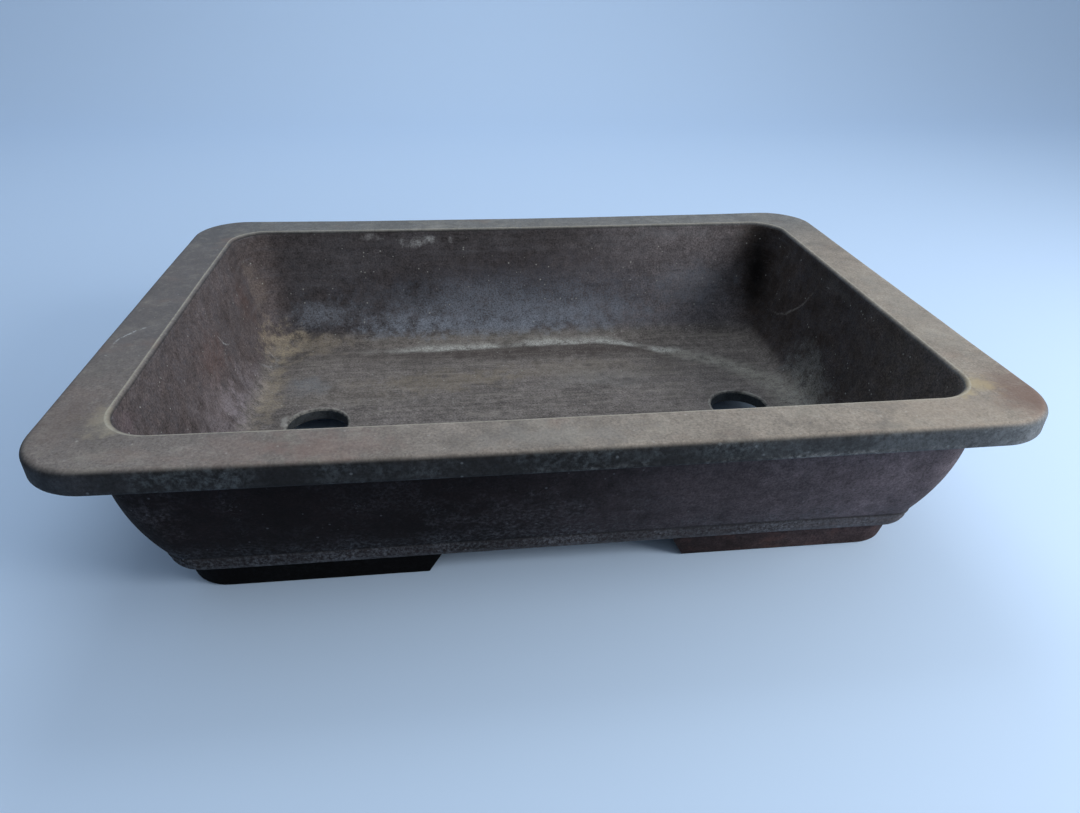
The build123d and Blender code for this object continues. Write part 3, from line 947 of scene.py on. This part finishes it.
def clay_material(name, specular):
    """A matt clay material whose colour and bump are still to be linked."""
    material = bpy.data.materials.new(name)
    material.use_nodes = True
    shader = material.node_tree.nodes["Principled BSDF"]
    shader.inputs["Specular IOR Level"].default_value = specular
    return material, material.node_tree, shader


def finish_clay(tree, shader, colour, height, depth=0.5):
    """Links the colour, a bump made from the height, and a roughness that follows the height."""
    tree.links.new(colour, shader.inputs["Base Color"])
    bump = add(tree, "Bump", {"Height": height, "Strength": depth, "Distance": 0.5 * MM})
    tree.links.new(bump.outputs["Normal"], shader.inputs["Normal"])
    rough = add(tree, "MapRange", {"Value": height, "From Min": 0.2, "From Max": 0.9,
                                   "To Min": 0.66, "To Max": 0.9}).outputs["Result"]
    tree.links.new(rough, shader.inputs["Roughness"])


def build_rim_clay():
    """The rim: a dusty taupe top, a worn pale inner arris, a slate edge and the basin's clay inside."""
    material, tree, shader = clay_material("rim_clay", 0.2)
    x, y, z = coordinates(tree)
    here = pot_point(tree)
    grain = use(tree, grain_group)
    # The top is darker to the left: partly the clay's tone, partly painted shade, as less light reaches the
    # left.
    top = blend(tree, ramp(tree, x, -215 * MM, 120 * MM), tint(122, 116, 112), tint(147, 139, 129))
    top = blend(tree, ramp(tree, y, 60 * MM, 156 * MM), top, tint(114, 115, 114))
    top = toned(tree, top, grain, 0.18, 0.18, 0.40)
    dusty = ramp(tree, noise(tree, here, 22 * MM, 6, 0.7), 0.5, 0.72)
    turned = stretched(tree, here, (1, 1, 1), (0, 0, 40))
    dull = ramp(tree, noise(tree, turned, 30 * MM, 5, 0.65), 0.52, 0.74)
    drawn_out = stretched(tree, here, (0.6, 1, 1), (0, 0, 20))
    rusty = ramp(tree, noise(tree, drawn_out, 26 * MM, 4, 0.6), 0.55, 0.75)
    # Darker grey on the left arm, partly painted shade.
    left_arm = product(tree, ramp(tree, x, -184 * MM, -200 * MM), ramp(tree, y, -95 * MM, -30 * MM))
    ring = curved_scratch(tree, (-196, -44, 100), 24, 0.9, (-214, -34, 100), (12, 18, 8))
    top = paint(tree, top, [
        (left_arm, 0.62, tint(98, 97, 99)),
        (dusty, 0.26, tint(172, 168, 156)),
        (dull, 0.44, tint(96, 95, 93)),
        (rusty, 0.36, tint(144, 120, 108)),
        (ramp(tree, noise(tree, here, 5 * MM, 5, 0.7), 0.52, 0.68), 0.16, tint(180, 176, 164)),
        (patch(tree, (-99, -145, 100), (32, 16, 12), 0.9), 0.30, tint(132, 106, 100)),
        (patch(tree, (-135, -145, 100), (26, 16, 12), 0.9), 0.24, tint(130, 108, 102)),
        (patch(tree, (-6, -145, 100), (50, 12, 12), 0.9), 0.24, tint(142, 142, 140)),
        (patch(tree, (172, -142, 100), (52, 22, 12), 0.8), 0.30, tint(176, 163, 148)),
        (patch(tree, (218, -134, 100), (26, 34, 12), 0.5), 0.72, tint(116, 94, 86)),
        (patch(tree, (214, -40, 100), (16, 80, 12), 0.9), 0.24, tint(150, 150, 144)),
        (patch(tree, (192, -120, 100), (18, 15, 12), 0.9), 0.62, tint(178, 164, 132)),
        (patch(tree, (-193, -118, 100), (15, 17, 12), 0.9), 0.50, tint(172, 164, 144)),
        (patch(tree, (-213, -112, 100), (18, 40, 12), 0.8), 0.30, tint(110, 94, 88)),
        (ring, 0.62, MINERAL_WHITE),
        (use(tree, scratch_group, Turn=(0.0, 0.0, 0.5), Length=0.12).outputs[0], 0.22, tint(180, 178, 172)),
        (specks(tree, 3.2, 0.12), 0.36, tint(186, 184, 178)),
        (specks(tree, 2.9, 0.12), 0.34, tint(72, 70, 70)),
    ])

    # The edge is near black along the front's left part and greyer to the right, palest round the right end:
    # partly the clay's tone, partly painted shade and painted light, as the light comes from the right.
    edge = blend(tree, ramp(tree, x, 10 * MM, 190 * MM), tint(26, 26, 27), tint(66, 69, 72))
    edge = blend(tree, ramp(tree, x, 172 * MM, 212 * MM), edge, tint(102, 106, 109))
    edge = blend(tree, ramp(tree, x, -165 * MM, -205 * MM), edge, tint(44, 45, 48))
    edge = toned(tree, edge, grain, 0.35, 0.5, 0.5)
    fine_scuffs = ramp(tree, noise(tree, here, 2.6 * MM, 5, 0.75), 0.38, 0.70)
    lengthwise = stretched(tree, here, (0.5, 0.5, 1))
    scuffs = product(tree, fine_scuffs, ramp(tree, noise(tree, lengthwise, 18 * MM, 4, 0.6), 0.34, 0.66))
    low_arris = product(tree, ramp(tree, z, RIM_UNDERSIDE + 3 * MM, RIM_UNDERSIDE + 0.5 * MM),
                        ramp(tree, x, -60 * MM, 160 * MM), scuffs)
    edge = paint(tree, edge, [(scuffs, 0.34, tint(112, 120, 124)), (low_arris, 0.50, tint(168, 166, 162)),
                              (specks(tree, 4.0, 0.16), 0.3, tint(130, 136, 140))])
    worn = product(tree, mark(tree, "arris"), mark(tree, "upward"))
    broken = ramp(tree, noise(tree, here, 2.2 * MM, 5, 0.7), 0.18, 0.60)
    inner_line = product(tree, ramp(tree, worn, 0.72, 0.98), broken)
    basin = use(tree, basin_group)
    colour = blend(tree, ramp(tree, mark(tree, "upward"), 0.25, 0.85), edge, top)
    colour = blend(tree, ramp(tree, mark(tree, "inside"), 0.15, 0.75), colour, basin.outputs["Color"])
    colour = paint(tree, colour, [(inner_line, 0.62, tint(186, 182, 166))])
    finish_clay(tree, shader, colour, grain.outputs["Height"], 0.45)
    return material


def build_wall_clay():
    """The walls: dark outside, stained basin clay inside."""
    material, tree, shader = clay_material("wall_clay", 0.12)
    # Dark, the colour at the left, is partly painted shade.
    shell = use(tree, shell_group, Dark=tint(20, 15, 16), Pale=tint(89, 81, 85), Dust=0.42)
    basin = use(tree, basin_group)
    colour = blend(tree, mark(tree, "inside"), shell.outputs["Color"], basin.outputs["Color"])
    finish_clay(tree, shader, colour, shell.outputs["Height"], 0.55)
    return material


def build_band_clay():
    """The band at the walls' foot: slate grey, with the most dust."""
    material, tree, shader = clay_material("band_clay", 0.12)
    # Dark, the colour at the left, is partly painted shade.
    shell = use(tree, shell_group, Dark=tint(36, 32, 33), Pale=tint(70, 67, 70), Dust=0.70)
    finish_clay(tree, shader, shell.outputs["Color"], shell.outputs["Height"], 0.6)
    return material


def build_foot_clay():
    """The feet: near black at the left, which is painted shade, going to dark reddish brown at the right,
    with a rusty tint to the right.
    """
    material, tree, shader = clay_material("foot_clay", 0.08)
    # Dark is near black: painted shade on the left feet.
    shell = use(tree, shell_group, Dark=tint(3, 2, 2), Pale=tint(68, 57, 58), Dust=0.03)
    here = pot_point(tree)
    rusty = ramp(tree, noise(tree, here, 12 * MM, 4, 0.6), 0.5, 0.7)
    to_right = ramp(tree, coordinates(tree)[0], 0.0, 0.12)
    colour = paint(tree, shell.outputs["Color"], [(product(tree, rusty, to_right), 0.3, tint(92, 64, 58))])
    finish_clay(tree, shader, colour, shell.outputs["Height"], 0.6)
    return material


def build_floor_clay():
    """The floor: basin clay, slate drain holes with pale worn rings, and a plain dark underside."""
    material, tree, shader = clay_material("floor_clay", 0.2)
    basin = use(tree, basin_group)
    shell = use(tree, shell_group, Dark=tint(58, 54, 54), Pale=tint(66, 62, 62), Dust=0.3)
    grain = use(tree, grain_group)
    slate = toned(tree, tint(60, 64, 67), grain, 0.3, 0.55, 0.5)
    colour = blend(tree, mark(tree, "inside"), shell.outputs["Color"], basin.outputs["Color"])
    colour = blend(tree, mark(tree, "upward"), colour, slate)
    broken = ramp(tree, noise(tree, pot_point(tree), 4 * MM, 5, 0.7), 0.34, 0.6)
    colour = paint(tree, colour, [
        (product(tree, ramp(tree, mark(tree, "arris"), 0.62, 0.98), broken), 0.6, tint(160, 159, 152)),
        (patch(tree, (-154, -2, 22), (2.4, 8, 3), 0.8), 0.4, tint(186, 186, 180)),
    ])
    finish_clay(tree, shader, colour, basin.outputs["Height"], 0.5)
    return material


# ------------------------------------------------------------------ stage, light and camera
GROUND_COLOUR = (0.57, 0.74, 0.96, 1)
SKY_COLOUR = (0.82, 0.90, 1.0, 1)
SKY_BRIGHT_WAY = (0.62, 0.28, 0.60)
SKY_DIM = 0.12
SKY_BRIGHT = 0.68


def build_ground_material():
    """Pale and matt from above, and clear from underneath, so that the pot's underside can be looked at."""
    material = bpy.data.materials.new("ground")
    material.use_nodes = True
    tree = material.node_tree
    shader = tree.nodes["Principled BSDF"]
    shader.inputs["Base Color"].default_value = GROUND_COLOUR
    shader.inputs["Roughness"].default_value = 0.8
    below = add(tree, "NewGeometry").outputs["Backfacing"]
    clear = add(tree, "BsdfTransparent").outputs[0]
    seen = add(tree, "MixShader", {0: below, 1: shader.outputs[0], 2: clear})
    tree.links.new(seen.outputs[0], tree.nodes["Material Output"].inputs["Surface"])
    return material


def build_stage():
    """A pale ground that sweeps up behind the pot."""
    x = np.linspace(-2.2, 2.2, 3)
    turn = np.radians(np.linspace(0, 90, 13))
    y = np.concatenate([[-2.2], 1.0 + 0.6 * np.sin(turn), [1.6]])
    z = np.concatenate([[0.0], 0.6 * (1 - np.cos(turn)), [2.6]])
    points = np.stack([np.repeat(x, len(y)), np.tile(y, 3), np.tile(z, 3)], axis=1)
    mesh = bpy.data.meshes.new("ground")
    mesh.from_pydata(points.tolist(), [], grid_faces(3, len(y), False)[:, ::-1].tolist())
    mesh.shade_smooth()
    mesh.materials.append(build_ground_material())
    ground = bpy.data.objects.new("ground", mesh)
    bpy.context.scene.collection.objects.link(ground)


def add_lamp(name, place, target, size, power, colour):
    """A square area lamp aimed at a point."""
    lamp = bpy.data.lights.new(name, "AREA")
    lamp.size = size
    lamp.energy = power
    lamp.color = colour
    holder = bpy.data.objects.new(name, lamp)
    holder.location = place
    holder.visible_camera = False
    holder.rotation_euler = (Vector(target) - Vector(place)).to_track_quat("-Z", "Y").to_euler()
    bpy.context.scene.collection.objects.link(holder)


def build_light():
    """A pale sky, brighter to the right and overhead, a soft lamp from the right and one from behind."""
    world = bpy.data.worlds.new("sky")
    bpy.context.scene.world = world
    world.use_nodes = True
    tree = world.node_tree
    sky = tree.nodes["Background"]
    sky.inputs["Color"].default_value = SKY_COLOUR
    outward = add(tree, "TexCoord").outputs["Generated"]
    brighter_way = add(tree, "VectorMath", {0: outward, 1: SKY_BRIGHT_WAY}, operation="DOT_PRODUCT")
    strength = add(tree, "MapRange", {
        "Value": brighter_way.outputs["Value"],
        "From Min": -0.7,
        "From Max": 0.9,
        "To Min": SKY_DIM,
        "To Max": SKY_BRIGHT,
    })
    tree.links.new(strength.outputs["Result"], sky.inputs["Strength"])
    add_lamp("key", (0.85, -0.45, 0.48), (0.05, 0, 0.05), 0.5, 7.8, (1.0, 0.97, 0.94))
    add_lamp("back", (0.1, 0.9, 1.3), (0, 0, 0.05), 1.0, 6.5, (0.92, 0.96, 1.0))


VIEW_TARGET = Vector((4.0 * MM, 0, 24.3 * MM))
VIEW_DISTANCE = 479.3 * MM
VIEW_AZIMUTH = math.radians(-7.33)
VIEW_ELEVATION = math.radians(31.14)
VIEW_ROLL = math.radians(1.21)
VIEW_LENS = 25.08


def build_camera():
    """The camera: a little left of the middle, above the front rim, turned slightly about its own axis."""
    flat = math.cos(VIEW_ELEVATION)
    back = Vector((math.sin(VIEW_AZIMUTH) * flat, -math.cos(VIEW_AZIMUTH) * flat, math.sin(VIEW_ELEVATION)))
    level = Vector((0, 0, 1)).cross(back).normalized()
    upright = back.cross(level)
    right = level * math.cos(VIEW_ROLL) + upright * math.sin(VIEW_ROLL)
    up = upright * math.cos(VIEW_ROLL) - level * math.sin(VIEW_ROLL)
    lens = bpy.data.cameras.new("camera")
    lens.lens = VIEW_LENS
    lens.sensor_width = 36
    lens.sensor_fit = "HORIZONTAL"
    lens.clip_start = 0.01
    camera = bpy.data.objects.new("camera", lens)
    turn = Matrix((right, up, back)).transposed().to_4x4()
    camera.matrix_world = Matrix.Translation(VIEW_TARGET + back * VIEW_DISTANCE) @ turn
    bpy.context.scene.collection.objects.link(camera)
    bpy.context.scene.camera = camera
    bpy.context.scene.view_settings.view_transform = "Standard"


# ------------------------------------------------------------------ the pot
rim_clay = build_rim_clay()
wall_clay = build_wall_clay()
band_clay = build_band_clay()
foot_clay = build_foot_clay()
floor_clay = build_floor_clay()

for kind, slot, profile, clay in (
    ("rim", "rim", rim_profile(), rim_clay),
    ("wall", "wall", wall_profile(), wall_clay),
    ("base_band", "base_band", band_profile(), band_clay),
):
    for side in SIDES:
        build_member(kind, side, profile, clay)
for row in ("front", "back"):
    for end in ("left", "right"):
        build_foot(row, end, foot_profile(), foot_clay)
build_floor(floor_clay)

build_stage()
build_light()
build_camera()
